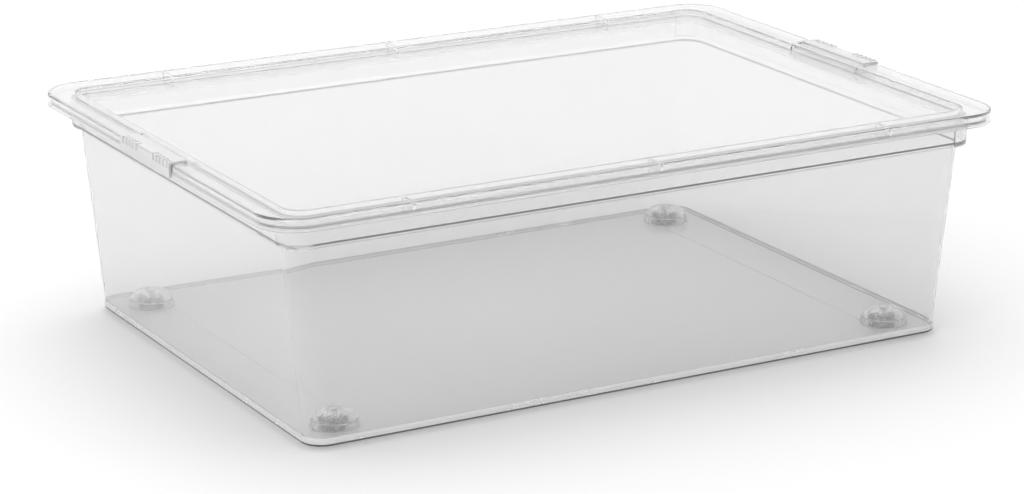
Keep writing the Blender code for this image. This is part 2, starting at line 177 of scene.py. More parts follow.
# %% [markdown]
# ## Turned, boxed and pressed shapes
#
# Castors, domes and pins are turned shapes, so they are a profile spun round an axis. Ribs and
# notches are boxes with softened edges. The clip has one section all along its length, so it
# is that section extruded.

# %% Spin, box and extrude
ROUND_SEGMENTS = 48
STEM_SEGMENTS = 32
PIN_SEGMENTS = 24
SOFTEN_OVER = radians(30)
SOFTEN_SEGMENTS = 2


def turned(profile, segments=ROUND_SEGMENTS, axis="Z", closed=False):
    """A profile of (radius, height) points spun round Z, then laid along another axis."""
    bm = bmesh.new()
    points = [bm.verts.new((radius, 0, height)) for radius, height in profile]
    ring = points[1:] + points[:1] if closed else points[1:]
    edges = [bm.edges.new(pair) for pair in zip(points, ring)]
    bmesh.ops.spin(
        bm,
        geom=points + edges,
        cent=(0, 0, 0),
        axis=(0, 0, 1),
        angle=2 * pi,
        steps=segments,
        use_merge=True,
    )
    bmesh.ops.remove_doubles(bm, verts=bm.verts, dist=0.1 * MICRON)
    bmesh.ops.recalc_face_normals(bm, faces=bm.faces)
    tilt = {"X": ("Y", pi / 2), "Y": ("X", -pi / 2)}.get(axis)
    if tilt:
        bmesh.ops.rotate(bm, verts=bm.verts, matrix=Matrix.Rotation(tilt[1], 3, tilt[0]))
    return bm


def rod(radius, reach, segments, axis):
    """A plain round rod, as long on each side of the middle as its reach."""
    return turned([(0, -reach), (radius, -reach), (radius, reach), (0, reach)], segments, axis)


def soften(bm, radius, over=SOFTEN_OVER):
    """Rounds every edge that turns by more than an angle."""
    edges = [e for e in bm.edges if e.is_manifold and e.calc_face_angle() > over]
    bmesh.ops.bevel(
        bm,
        geom=edges,
        offset=radius,
        segments=SOFTEN_SEGMENTS,
        profile=0.5,
        affect="EDGES",
        material=-1,
    )
    return bm


def block(size, centre, radius=0):
    """A box with softened edges."""
    bm = bmesh.new()
    bmesh.ops.create_cube(bm, size=1)
    bmesh.ops.scale(bm, verts=bm.verts, vec=size)
    bmesh.ops.translate(bm, verts=bm.verts, vec=centre)
    return soften(bm, radius) if radius else bm


def pressed(section, length):
    """A section of (x, z) points extruded along Y, centred on the XZ plane."""
    bm = bmesh.new()
    face = bm.faces.new([bm.verts.new((x, -length / 2, z)) for x, z in section])
    grown = bmesh.ops.extrude_face_region(bm, geom=[face])
    far = [item for item in grown["geom"] if isinstance(item, bmesh.types.BMVert)]
    bmesh.ops.translate(bm, verts=far, vec=(0, length, 0))
    bmesh.ops.recalc_face_normals(bm, faces=bm.faces)
    return bm


# %% [markdown]
# ## Joining and cutting
#
# Domes grow out of the floor and notches are cut through the border, and on a clear part a
# join that isn't truly joined shows as a skin inside the plastic. Exact Booleans give one
# closed surface. The result is read back as a plain mesh, so nothing stays live, and it is
# cleaned, because a cut can leave slivers too thin to see that still hold the surface open.
#
# Smooth shading alone would bend the light on the big flat walls near their edges. A Weighted
# Normal modifier lets the large faces win, so that only the small radii bend it.

# %% Join, cut and finish a piece
SHARP = radians(40)
CLEANING_ROUNDS = 2
QUAD = 4


def as_object(bm, name):
    """A bmesh as an object at the origin, with its faces outward."""
    bmesh.ops.remove_doubles(bm, verts=bm.verts, dist=0.1 * MICRON)
    bmesh.ops.recalc_face_normals(bm, faces=bm.faces)
    mesh = bpy.data.meshes.new(name)
    bm.to_mesh(mesh)
    bm.free()
    piece = bpy.data.objects.new(name, mesh)
    bpy.context.scene.collection.objects.link(piece)
    return piece


def combine(piece, shapes, operation):
    """Unites shapes with a piece, or cuts them from it, one after another."""
    for shape in shapes:
        tool = as_object(shape, "tool")
        step = piece.modifiers.new(operation, "BOOLEAN")
        step.operation = operation
        step.solver = "EXACT"
        step.object = tool
        graph = bpy.context.evaluated_depsgraph_get()
        result = bpy.data.meshes.new_from_object(piece.evaluated_get(graph))
        piece.modifiers.clear()
        spare = piece.data
        piece.data = result
        bpy.data.meshes.remove(spare)
        tool_mesh = tool.data
        bpy.data.objects.remove(tool)
        bpy.data.meshes.remove(tool_mesh)


def clean(mesh):
    """Closes the hairline slivers that a cut leaves, and splits its many-sided faces."""
    bm = bmesh.new()
    bm.from_mesh(mesh)
    for _ in range(CLEANING_ROUNDS):
        bmesh.ops.remove_doubles(bm, verts=bm.verts, dist=MICRON)
        bmesh.ops.dissolve_degenerate(bm, edges=bm.edges, dist=MICRON)
        bmesh.ops.triangulate(bm, faces=[face for face in bm.faces if len(face.verts) > QUAD])
    bm.to_mesh(mesh)
    bm.free()


def mark_wear(mesh):
    """Stores how sharply the surface turns at each vertex, for scuffing the edges."""
    bm = bmesh.new()
    bm.from_mesh(mesh)
    worn = [max([e.calc_face_angle(0) for e in v.link_edges] or [0]) for v in bm.verts]
    bm.free()
    wear = mesh.attributes.new("edge_wear", "FLOAT", "POINT")
    wear.data.foreach_set("value", [min(angle / SHARP, 1) for angle in worn])


def finish_piece(piece, finishes, body, node, zone=None):
    """Smooths a piece, gives it its finishes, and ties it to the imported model."""
    clean(piece.data)
    piece.data.shade_smooth()
    piece.data.set_sharp_from_angle(angle=SHARP)
    mark_wear(piece.data)
    even = piece.modifiers.new("flat_faces_first", "WEIGHTED_NORMAL")
    even.keep_sharp = True
    piece.data.materials.clear()
    for finish in finishes:
        piece.data.materials.append(finish)
    for face in piece.data.polygons:
        face.material_index = zone(face.center, face.normal) if zone else 0
    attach(piece, body)
    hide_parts(node)
    low, high = ([round(x / MM, 1) for x in corner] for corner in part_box(node))
    size = [round(x / MM, 1) for x in piece.dimensions]
    print(piece.name, len(piece.data.polygons), "faces,", size, "mm; CAD", low, high)


# %% [markdown]
# ## Node helper and colours
#
# A finish is a small graph of nodes. One helper adds a node, sets it and wires its inputs,
# so that each material below reads as a short recipe. Colours are written as the sRGB hex
# values that an eye would pick, and turned into the linear light that a renderer adds up.

# %% Add a node, read a colour
SRGB_KNEE = 0.04045
SRGB_SLOPE = 12.92
SRGB_OFFSET = 0.055
SRGB_POWER = 2.4


def linear(code):
    """An sRGB hex colour as linear RGBA."""
    parts = [int(code[i : i + 2], 16) / 255 for i in (0, 2, 4)]
    curved = [((part + SRGB_OFFSET) / (1 + SRGB_OFFSET)) ** SRGB_POWER for part in parts]
    low = [part / SRGB_SLOPE for part in parts]
    return (*[a if part <= SRGB_KNEE else b for part, a, b in zip(parts, low, curved)], 1)


def add_node(tree, kind, inputs=(), **settings):
    """A node with its settings, and each input either linked from a socket or set."""
    made = tree.nodes.new(kind)
    for name, value in settings.items():
        setattr(made, name, value)
    for name, value in dict(inputs).items():
        if isinstance(value, bpy.types.NodeSocket):
            tree.links.new(value, made.inputs[name])
        else:
            made.inputs[name].default_value = value
    return made


def new_material(name):
    """A material with an empty graph, and its output node."""
    made = bpy.data.materials.new(name)
    made.use_nodes = True
    made.node_tree.nodes.clear()
    return made, made.node_tree, add_node(made.node_tree, "ShaderNodeOutputMaterial")


# %% [markdown]
# ## Clear moulded plastic
#
# Polypropylene is clear only when it is thin and made with a clarifier, so it keeps a slight
# grey haze. A polished mould gives it a gloss that isn't quite even: the melt leaves broad
# flow waves, the surface has a faint orange peel, and handling leaves fine scuffs, most of
# all along the edges. Its IOR is near 1.49.
#
# A glass shader alone would leave the inside of the box dark at this number of samples. Rays
# that ask whether a lamp is hidden get a plain tinted pane instead, darker at a glancing
# angle, which lets the light through and keeps the shadow as pale as it is under clear
# plastic. The haze is the share of the shader that doesn't transmit.
#
# Real orange peel is under 1 mm across and real scuffs are finer still. Both are drawn
# coarser here, so that they show at the distance that the box is seen from.

# %% Gloss, skin and colour of a plastic
POLYPROPYLENE_IOR = 1.49
POLYCARBONATE_IOR = 1.585
FLOW_WAVE = 45 * MM
FLOW_SHARE = 0.5
WAVE_DEPTH = 0.02 * MM
ORANGE_PEEL = 2.2 * MM
PEEL_DEPTH = 0.001 * MM
RIPPLE_DEPTH = 0.3 * MM
SCUFF_SPACING = 5 * MM
GRAZING_SHADE = "D8D8D8"
RIM_SPREAD = 0.3
SWIRL = 3 * MM
SWIRL_TWIST = 1.5
SWIRL_EDGES = (0.42, 0.58)
# Painted shade on the floor: how far its pale middle spreads along X and Y.
PAINTED_SHADE_SPREAD = (1 / 0.33, 1 / 0.25, 1)


def uneven_gloss(tree, where, flow, gloss, scuffed):
    """A roughness that follows the flow of the melt and the wear along the edges."""
    scuff = add_node(
        tree,
        "ShaderNodeTexNoise",
        {"Vector": where, "Scale": 1 / SCUFF_SPACING, "Detail": 6.0, "Roughness": 0.7},
    )
    wear = add_node(tree, "ShaderNodeAttribute", attribute_name="edge_wear")
    worn = add_node(
        tree,
        "ShaderNodeMath",
        {0: wear.outputs["Fac"], 1: scuff.outputs["Fac"]},
        operation="MULTIPLY",
    )
    patchy = add_node(
        tree,
        "ShaderNodeMath",
        {0: flow.outputs["Fac"], 1: FLOW_SHARE, 2: worn.outputs[0]},
        operation="MULTIPLY_ADD",
    )
    rough = add_node(
        tree,
        "ShaderNodeMapRange",
        {"Value": patchy.outputs[0], "To Min": gloss, "To Max": scuffed},
    )
    return rough.outputs["Result"]


def moulded_skin(tree, flow, peel, skin_depth):
    """Flow waves with a finer skin over them, as a tilt of the surface."""
    waves = add_node(
        tree,
        "ShaderNodeBump",
        {"Height": flow.outputs["Fac"], "Distance": WAVE_DEPTH, "Strength": 1.0},
    )
    skin = add_node(
        tree,
        "ShaderNodeBump",
        {
            "Height": peel.outputs["Fac"],
            "Distance": skin_depth,
            "Strength": 1.0,
            "Normal": waves.outputs["Normal"],
        },
    )
    return skin.outputs["Normal"]


def mixed_colour(tree, share, first, second):
    """A colour between two hex colours, by a share read from a socket."""
    mix = add_node(
        tree,
        "ShaderNodeMix",
        {0: share, 6: linear(first), 7: linear(second)},
        data_type="RGBA",
    )
    return mix.outputs[2]


def plastic_colour(tree, spot, where, tint, streak, painted_light_middle):
    """One plain tint, or the tint with swirls of a streak, or with a paler middle that paints
    shade towards the edges.
    """
    if streak:
        swirl = add_node(
            tree,
            "ShaderNodeTexNoise",
            {"Vector": where, "Scale": 1 / SWIRL, "Detail": 3.0, "Distortion": SWIRL_TWIST},
        )
        start, end = SWIRL_EDGES
        streaks = add_node(
            tree,
            "ShaderNodeMapRange",
            {"Value": swirl.outputs["Fac"], "From Min": start, "From Max": end},
        )
        return mixed_colour(tree, streaks.outputs["Result"], tint, streak)
    # Painted shade: the colour is paler round the middle and darker towards the edges.
    if painted_light_middle:
        spread = add_node(tree, "ShaderNodeMapping", {"Vector": spot, "Scale": PAINTED_SHADE_SPREAD})
        painted_shade_fade = add_node(
            tree,
            "ShaderNodeTexGradient",
            {"Vector": spread.outputs["Vector"]},
            gradient_type="QUADRATIC_SPHERE",
        )
        return mixed_colour(tree, painted_shade_fade.outputs["Fac"], tint, painted_light_middle)
    return linear(tint)


print("flow waves", FLOW_WAVE / MM, "mm apart, orange peel", ORANGE_PEEL / MM, "mm")

# %% [markdown]
# ## The clear shader
#
# The recipe puts the parts together: the gloss, the skin and the colour go into one
# Principled shader, and a pane stands in for it on the rays that look for the lamps. One
# function makes every clear finish, so that they differ only in what they are given.


# %% Mix a clear plastic
def clear_plastic(
    name,
    clear,
    gloss,
    scuffed,
    offset,
    tint="FFFFFF",
    pane_tint="FEFEFE",
    ior=POLYPROPYLENE_IOR,
    rim=0.0,
    skin_depth=PEEL_DEPTH,
    streak=None,
    painted_light_middle=None,
):
    """Clear plastic of one finish.

    clear is the share that isn't haze, gloss and scuffed are its least and most roughness, and
    offset moves its pattern so that no two finishes match. rim adds a pale sheen at glancing
    angles, streak a second colour in swirls, and the last argument a paler colour round the
    middle, which makes the tint towards the edges painted shade.
    """
    material, tree, output = new_material(name)
    spot = add_node(tree, "ShaderNodeTexCoord").outputs["Object"]
    moved = add_node(tree, "ShaderNodeMapping", {"Vector": spot, "Location": offset})
    where = moved.outputs["Vector"]
    flow, peel = [
        add_node(tree, "ShaderNodeTexNoise", {"Vector": where, "Scale": 1 / size, "Detail": 1.0})
        for size in (FLOW_WAVE, ORANGE_PEEL)
    ]
    roughness = uneven_gloss(tree, where, flow, gloss, scuffed)
    normal = moulded_skin(tree, flow, peel, skin_depth)
    plastic = add_node(
        tree,
        "ShaderNodeBsdfPrincipled",
        {
            "Base Color": plastic_colour(tree, spot, where, tint, streak, painted_light_middle),
            "IOR": ior,
            "Transmission Weight": clear,
            "Sheen Weight": rim,
            "Sheen Roughness": RIM_SPREAD,
            "Roughness": roughness,
            "Normal": normal,
        },
    )
    mirror = add_node(tree, "ShaderNodeFresnel", {"IOR": ior})
    let_by = mixed_colour(tree, mirror.outputs[0], pane_tint, GRAZING_SHADE)
    pane = add_node(tree, "ShaderNodeBsdfTransparent", {"Color": let_by})
    path = add_node(tree, "ShaderNodeLightPath")
    shaded = add_node(
        tree,
        "ShaderNodeMixShader",
        {0: path.outputs["Is Shadow Ray"], 1: plastic.outputs[0], 2: pane.outputs[0]},
    )
    tree.links.new(shaded.outputs[0], output.inputs["Surface"])
    return material


# %% [markdown]
# ## The tray's finishes
#
# A mould gives each of its faces its own finish, so one moulding needs several recipes. They
# could be painted from one mask, but separate materials on separate faces stay crisp at the
# edge between two finishes, as they are on a real moulding.

# %% Mix the tray's finishes
# The tray's walls: a clean gloss, with enough grey haze to show where they are.
tray_plastic = clear_plastic(
    "clear_polypropylene_moulded_tray", clear=0.84, gloss=0.0, scuffed=0.04, offset=(0, 0, 0)
)
# The foot rim: spark eroded, so it reads as a pale soft line round the bottom.
rim_plastic = clear_plastic(
    "matt_polypropylene_foot_rim",
    clear=0.52,
    gloss=0.2,
    scuffed=0.4,
    offset=(0.2, 0, 0.1),
    pane_tint="D0D0D0",
)
# The edge that the box stands on: scuffed by the floor, and coloured dark grey as painted shade,
# so that the contact shadow shows as a thin dark line under the rim.
shaded_standing_plastic = clear_plastic(
    "scuffed_and_painted_shade_standing_edge",
    clear=0.52,
    gloss=0.3,
    scuffed=0.5,
    offset=(0.4, 0, 0.3),
    # Painted shade: this dark grey stands in for the contact shadow under the foot rim.
    tint="4C4C4C",
    pane_tint="909090",
)
# The floor: a fine matt that hides scratches, with painted shade: its colour is palest round the
# middle and greyer towards the walls.
floor_plastic = clear_plastic(
    "fine_matt_polypropylene_floor",
    clear=0.52,
    gloss=0.06,
    scuffed=0.16,
    offset=(0.6, 0, 0.1),
    tint="F6F6F6",
    painted_light_middle="FFFFFF",
)
# The castor domes: thin and rippled, so they break up what is under them, with a pale rim.
dome_plastic = clear_plastic(
    "rippled_polypropylene_dome",
    clear=0.98,
    gloss=0.0,
    scuffed=0.02,
    offset=(0.5, 0, 0.1),
    pane_tint="FAFAFA",
    rim=1.0,
    skin_depth=RIPPLE_DEPTH,
)
print("tray finishes made")

# %% [markdown]
# ## The finishes of the lid and the clips
#
# The lid is moulded from the same grade as the tray, but it is seen at a low angle from above,
# where even a little haze would hide what is inside. The clips are short thick mouldings that
# are handled most, so they cool slower and cloudier and pick up more scuffs.

# %% Mix the finishes of the lid and the clips
# The lid: the same gloss and less haze, so that the inside shows through it.
lid_plastic = clear_plastic(
    "clear_polypropylene_moulded_lid",
    clear=0.93,
    gloss=0.0,
    scuffed=0.05,
    offset=(0.3, 0.1, 0),
    tint="FDFDFD",
)
# The clips: thicker and hazier than the lid, so they stand out from it.
clip_plastic = clear_plastic(
    "clear_polypropylene_moulded_clip", clear=0.62, gloss=0.02, scuffed=0.1, offset=(0.7, 0.2, 0)
)
print("lid and clip finishes made")

# %% [markdown]
# ## The castors' plastic
#
# Small castors are moulded from a stiffer plastic than the box, polycarbonate here, with an
# IOR near 1.585, and often from regrind, which leaves smoky and pale swirls. The swirls are
# drawn 3 mm apart, coarser than most real ones, so that they read through the domes.

# %% Mix the castors' plastic
# The castor bodies: smoky with pale swirls, so they look mottled under the domes.
castor_plastic = clear_plastic(
    "streaked_polycarbonate_castor",
    clear=0.6,
    gloss=0.05,
    scuffed=0.2,
    offset=(0.1, 0, 0),
    tint="0C0D0E",
    pane_tint="707070",
    ior=POLYCARBONATE_IOR,
    streak="F4F4F4",
)
# The wheels: the same, a little paler, and rougher where they roll.
wheel_plastic = clear_plastic(
    "streaked_polycarbonate_wheel",
    clear=0.6,
    gloss=0.05,
    scuffed=0.25,
    offset=(0, 0.4, 0),
    tint="141516",
    pane_tint="808080",
    ior=POLYCARBONATE_IOR,
    streak="F8F8F8",
)
print("castor plastics made")

# %% [markdown]
# ## Steel for the axles
#
# The axle is a drawn steel pin, bright zinc plated. The plating gives it a soft grey shine
# that varies from spot to spot. It is a metal, so it needs no IOR, only its colour and a
# roughness that varies. Its real grain is nearer 0.1 mm, and is drawn coarser so that it shows.

# %% Plated steel recipe
PLATING_GRAIN = 0.4 * MM
STEEL_GLOSS, STEEL_DULL = 0.22, 0.42

# Zinc plated steel: a soft grey metal glint under the dome.
axle_steel, steel_tree, steel_output = new_material("zinc_plated_drawn_steel")
steel_spot = add_node(steel_tree, "ShaderNodeTexCoord").outputs["Object"]
plating = add_node(
    steel_tree,
    "ShaderNodeTexNoise",
    {"Vector": steel_spot, "Scale": 1 / PLATING_GRAIN, "Detail": 3.0},
)
steel_rough = add_node(
    steel_tree,
    "ShaderNodeMapRange",
    {"Value": plating.outputs["Fac"], "To Min": STEEL_GLOSS, "To Max": STEEL_DULL},
)
steel_tint = mixed_colour(steel_tree, plating.outputs["Fac"], "B9BBBE", "CFD0D1")
steel = add_node(
    steel_tree,
    "ShaderNodeBsdfPrincipled",
    {
        "Base Color": steel_tint,
        "Metallic": 1.0,
        "Roughness": steel_rough.outputs["Result"],
    },
)
steel_tree.links.new(steel.outputs[0], steel_output.inputs["Surface"])
print("steel made")

# %% [markdown]
# ## The tray
#
# The tray's section starts under the floor, goes round the foot rim, up the tapered wall, out
# over the step into the upper band, over the turned-down rim, and back down the inside. Walls
# are 2 mm thick. The taper lets the tray leave its mould and lets empty trays nest.

# %% Tray sizes and section
tray_low, tray_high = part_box("tray")
lid_low, lid_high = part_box("lid")
WALL = 2 * MM
FOOT = (485.5 / 2 * MM, 342.5 / 2 * MM)
FOOT_CORNER = 15 * MM
FOOT_BOTTOM = tray_low.z
FOOT_TOP = FOOT_BOTTOM + 5.5 * MM
FOOT_RING = 5 * MM
FOOT_LEDGE = 0.7 * MM
STANDING_EDGE = 1.8 * MM
FLOOR_UNDERSIDE = 3 * MM
FLOOR_TOP = 5 * MM
FLOOR_FILLET = 1.2 * MM
STEP = (255 * MM, 174.5 * MM)
STEP_CORNER = 17 * MM
STEP_HEIGHT = 134 * MM
BAND = (259.5 * MM, 178.5 * MM)
BAND_CORNER = 18 * MM
BAND_RISE = 2 * MM
RIM = (tray_high.x, tray_high.y)
RIM_TOP = tray_high.z
RIM_LIP = 3 * MM
LID = (lid_high.x, lid_high.y)
LID_CORNER = 28 * MM
LID_TOP = lid_high.z
SKIRT_CLEARANCE = 0.7 * MM
RIM_CORNER = LID_CORNER - WALL - SKIRT_CLEARANCE


def level(halves, corner, z, inset=0.0, radius=0.0):
    """One row of a section: an outline drawn in from its halves, its height, its radius."""
    return (halves[0] - inset, halves[1] - inset, corner - inset, z, radius)


tray_section = [
    level(FOOT, FOOT_CORNER, FLOOR_UNDERSIDE, FOOT_RING, 0.3 * MM),
    level(FOOT, FOOT_CORNER, FOOT_BOTTOM, FOOT_RING, 0.3 * MM),
    level(FOOT, FOOT_CORNER, FOOT_BOTTOM, 0, STANDING_EDGE),
    level(FOOT, FOOT_CORNER, FOOT_TOP - 1 * MM, 0, 0.4 * MM),
    level(FOOT, FOOT_CORNER, FOOT_TOP, FOOT_LEDGE, 0.3 * MM),
    level(STEP, STEP_CORNER, STEP_HEIGHT, 0, 0.2 * MM),
    level(BAND, BAND_CORNER, STEP_HEIGHT + BAND_RISE, 0, 0.2 * MM),
    level(BAND, BAND_CORNER, RIM_TOP - WALL, 0, 0.6 * MM),
    level(RIM, RIM_CORNER, RIM_TOP - WALL, WALL, 0.3 * MM),
    level(RIM, RIM_CORNER, RIM_TOP - RIM_LIP, WALL, 0.4 * MM),
    level(RIM, RIM_CORNER, RIM_TOP - RIM_LIP, 0, 0.4 * MM),
    level(RIM, RIM_CORNER, RIM_TOP, 0, 1 * MM),
    level(BAND, BAND_CORNER, RIM_TOP, WALL, 0.6 * MM),
    level(BAND, BAND_CORNER, STEP_HEIGHT + 2 * BAND_RISE, WALL, 0.2 * MM),
    level(STEP, STEP_CORNER, STEP_HEIGHT + BAND_RISE, WALL, 0.2 * MM),
    level(FOOT, FOOT_CORNER, FLOOR_TOP, FOOT_LEDGE + WALL, FLOOR_FILLET),
]
print("tray", [round(x / MM, 1) for x in tray_low], [round(x / MM, 1) for x in tray_high])

# %% [markdown]
# ## Castor domes and corner pads
#
# Each castor sits in a pocket under a dome with a shoulder part of the way up, and turns in a
# socket that hangs from the dome's roof. The outside of a dome is one turned shape joined to
# the floor; the space under it is another turned shape cut away, and what it leaves in the
# middle is the socket. Small pads stand proud on the band's corners under the rim.

# %% Dome, pocket and pad shapes
CASTORS = {
    name: (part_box(f"castor_{name}_body")[0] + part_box(f"castor_{name}_body")[1]) / 2
    for name in ("front_left", "front_right", "back_left", "back_right")
}
TRAIL = 2 * MM
DOME_RADIUS = 15.8 * MM
DOME_SHOULDER = 10.6 * MM
DOME_CAP = 14.6 * MM
DOME_TOP = 17.4 * MM
DOME_WALL = 1.6 * MM
DOME_EDGE = 1 * MM
SOCKET_RADIUS = 3.8 * MM
SOCKET_BOTTOM = 11.8 * MM
SOCKET_ROOF = 14.9 * MM
STEM_RADIUS = 2 * MM
RUNNING_FIT = 0.06 * MM
FLARE = 1.2 * MM
BEAD_IN = 41 * MM
BEAD_WIDTH = 1.4 * MM
BEAD_PROUD = 0.4 * MM
CAP_STEPS = 10
FLARE_STEPS = 5
FLARE_START = 0.1
PAD_START = radians(35)
PAD_STEPS = 10
PAD_PROUD = 1 * MM
PAD_RADIUS = 0.4 * MM


def quarter(steps, start=0.0, end=pi / 2):
    """Angles from start to end, for an arc in a profile."""
    return [start + (end - start) * step / steps for step in range(steps + 1)]


def dome():
    """The outside of a dome, flared into the floor and rounded at its shoulder."""
    flare = [
        (DOME_RADIUS + FLARE * (1 - sin(angle)), FLOOR_TOP + FLARE * (1 - cos(angle)))
        for angle in quarter(FLARE_STEPS, FLARE_START)
    ]
    shoulder = [
        (
            DOME_RADIUS - DOME_EDGE * (1 - cos(angle)),
            DOME_SHOULDER - DOME_EDGE * (1 - sin(angle)),
        )
        for angle in quarter(FLARE_STEPS)
    ]
    rise = DOME_TOP - DOME_SHOULDER
    cap = [
        (DOME_CAP * cos(angle), DOME_SHOULDER + rise * sin(angle))
        for angle in quarter(CAP_STEPS)
    ]
    base = (flare[0][0], FLOOR_TOP - WALL / 2)
    top = (0, DOME_TOP)
    return turned([(0, base[1]), base, *flare, *shoulder, *cap[:-1], top])


def pocket():
    """The space under a dome, round the hanging socket and up its bore."""
    wide = DOME_RADIUS - DOME_WALL
    cap = DOME_CAP - DOME_WALL
    shoulder = DOME_SHOULDER - DOME_WALL / 2
    rise = DOME_TOP - DOME_WALL - shoulder
    last = pi / 2 - asin(SOCKET_RADIUS / cap)
    bore = STEM_RADIUS + RUNNING_FIT
    mouth = [
        (wide + DOME_EDGE * (1 - sin(angle)), FLOOR_UNDERSIDE + DOME_EDGE * (1 - cos(angle)))
        for angle in quarter(FLARE_STEPS, FLARE_START)
    ]
    roof = [
        (cap * cos(angle), shoulder + rise * sin(angle))
        for angle in quarter(CAP_STEPS, 0, last)
    ]
    lip = 0.3 * MM
    socket = [
        (SOCKET_RADIUS, SOCKET_BOTTOM + lip),
        (SOCKET_RADIUS - lip, SOCKET_BOTTOM),
        (bore, SOCKET_BOTTOM),
        (bore, SOCKET_ROOF),
    ]
    start = (mouth[0][0], -WALL)
    return turned(
        [(0, -WALL), start, *mouth, (wide, shoulder), *roof, *socket, (0, SOCKET_ROOF)]
    )


def corner_pad(sign_x, sign_y):
    """A pad proud of the band on the long-side half of one corner arc."""
    outer = BAND_CORNER + PAD_PROUD
    inner = BAND_CORNER - WALL / 2
    arc = quarter(PAD_STEPS, PAD_START)
    outline_points = [(outer * cos(a), outer * sin(a)) for a in arc]
    outline_points += [(inner * cos(a), inner * sin(a)) for a in reversed(arc)]
    bm = bmesh.new()
    low = STEP_HEIGHT + BAND_RISE / 2
    face = bm.faces.new([bm.verts.new((x, y, low)) for x, y in outline_points])
    grown = bmesh.ops.extrude_face_region(bm, geom=[face])
    top = [item for item in grown["geom"] if isinstance(item, bmesh.types.BMVert)]
    bmesh.ops.translate(bm, verts=top, vec=(0, 0, RIM_TOP - WALL / 2 - low))
    bmesh.ops.recalc_face_normals(bm, faces=bm.faces)
    soften(bm, PAD_RADIUS)
    bmesh.ops.translate(bm, verts=bm.verts, vec=(BAND[0] - BAND_CORNER, BAND[1] - BAND_CORNER, 0))
    bmesh.ops.scale(bm, verts=bm.verts, vec=(sign_x, sign_y, 1))
    return bm


def floor_bead(side):
    """A low bead across the floor, inside one short side."""
    spot = (side * (FOOT[0] - BEAD_IN), 0, FLOOR_TOP)
    return block((BEAD_WIDTH, 2 * (FOOT[1] - BEAD_IN), 2 * BEAD_PROUD), spot, 0.9 * BEAD_PROUD)


def castor_centre(name):
    """Where a castor's swivel axis meets the ground."""
    middle = CASTORS[name]
    return Vector((middle.x, middle.y - TRAIL, 0))


def at(bm, spot):
    """The same shape, moved to a spot."""
    bmesh.ops.translate(bm, verts=bm.verts, vec=spot)
    return bm


for name in CASTORS:
    print(name, [round(x / MM, 2) for x in castor_centre(name)])

# %% [markdown]
# ## Five finishes on one moulding
#
# The tray is one piece, and its mould gives it four finishes and its use a fifth. Its foot rim
# is spark eroded matt, its castor domes are thin and rippled, its floor is a fine matt with
# painted shade towards its edges, and the rest, with the step that boxes stack on, is plain
# gloss. The edge that it stands on is scuffed by the floor, and its dark grey colour is painted
# shade, a contact shadow under the rim. Each face is given its finish by where it lies and which
# way it faces.

# %% Choose the finish of a face
FOOT_MATT, STANDING, RIPPLED, FINE_MATT = 1, 2, 3, 4
NEAR = 0.15 * MM
FLAT = 0.99


def inset_from_foot(point):
    """How far a point lies inside the foot's rounded outline."""
    beyond = [abs(point[i]) - (FOOT[i] - FOOT_CORNER) for i in (0, 1)]
    corner = Vector([max(b, 0) for b in beyond]).length
    return FOOT_CORNER - corner - min(max(beyond), 0)


def tray_zone(centre, normal):
    """The finish of a tray face, with 0 for plain gloss."""
    inset = inset_from_foot(centre)
    if inset < FOOT_LEDGE + NEAR and centre.z < FOOT_TOP + NEAR:
        # The lowest band of the foot takes the standing edge's finish, whose dark grey is painted
        # shade.
        return STANDING if centre.z < FOOT_BOTTOM + STANDING_EDGE - NEAR else FOOT_MATT
    if any((centre - spot).xy.length < DOME_RADIUS + FLARE for spot in castor_spots):
        return RIPPLED
    if centre.z < FLOOR_TOP + NEAR and abs(normal.z) > FLAT and inset > FOOT_RING + NEAR:
        return FINE_MATT
    return 0


# %% [markdown]
# ## Moulding the tray
#
# The real tray comes out of its mould whole. Here the shell comes first, then what grows out
# of it is joined on, then the pockets are cut. Cut the other way round, the domes would fill
# the pockets again.

# %% Mould the tray
tray = as_object(shell(tray_section), "tray_shell")
castor_spots = [castor_centre(name) for name in CASTORS]
pads = [corner_pad(sign_x, sign_y) for sign_x in (-1, 1) for sign_y in (-1, 1)]
beads = [floor_bead(side) for side in (-1, 1)]
combine(tray, pads + beads + [at(dome(), spot) for spot in castor_spots], "UNION")
combine(tray, [at(pocket(), spot) for spot in castor_spots], "DIFFERENCE")
tray_finishes = [tray_plastic, rim_plastic, shaded_standing_plastic, dome_plastic, floor_plastic]
finish_piece(tray, tray_finishes, "tray", "tray", tray_zone)

# %% [markdown]
# ## The lid
#
# The lid's panel is sunk so that boxes stack, and the border round it is a hollow channel
# turned down over the tray's rim. Short cross ribs inside the long borders rest on the rim.
# At each short side a notch is cut through the border for the clip, with a wall closing the
# channel at both ends of the notch.

# %% Lid sizes and section
PANEL_TOP = LID_TOP - 5.5 * MM
SKIRT_BOTTOM = lid_low.z
RECESS_CLEARANCE = 0.7 * MM
RECESS = tuple(half - WALL - RECESS_CLEARANCE for half in BAND)
RECESS_CORNER = BAND_CORNER - WALL - RECESS_CLEARANCE
RIB_SPACING = 178.5 * MM
RIB_GAP = 0.3 * MM
NOTCH_IN = 14.6 * MM
clip_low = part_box("clip_right")[0]
CLIP_LENGTH = 79 * MM
CLIP_END_GAP = 0.5 * MM
HINGE_X = 264.6 * MM
HINGE_Z = 157.8 * MM
PIN_RADIUS = 1.2 * MM
PIN_FIT = 0.08 * MM
NOTCH_RADIUS = 0.8 * MM

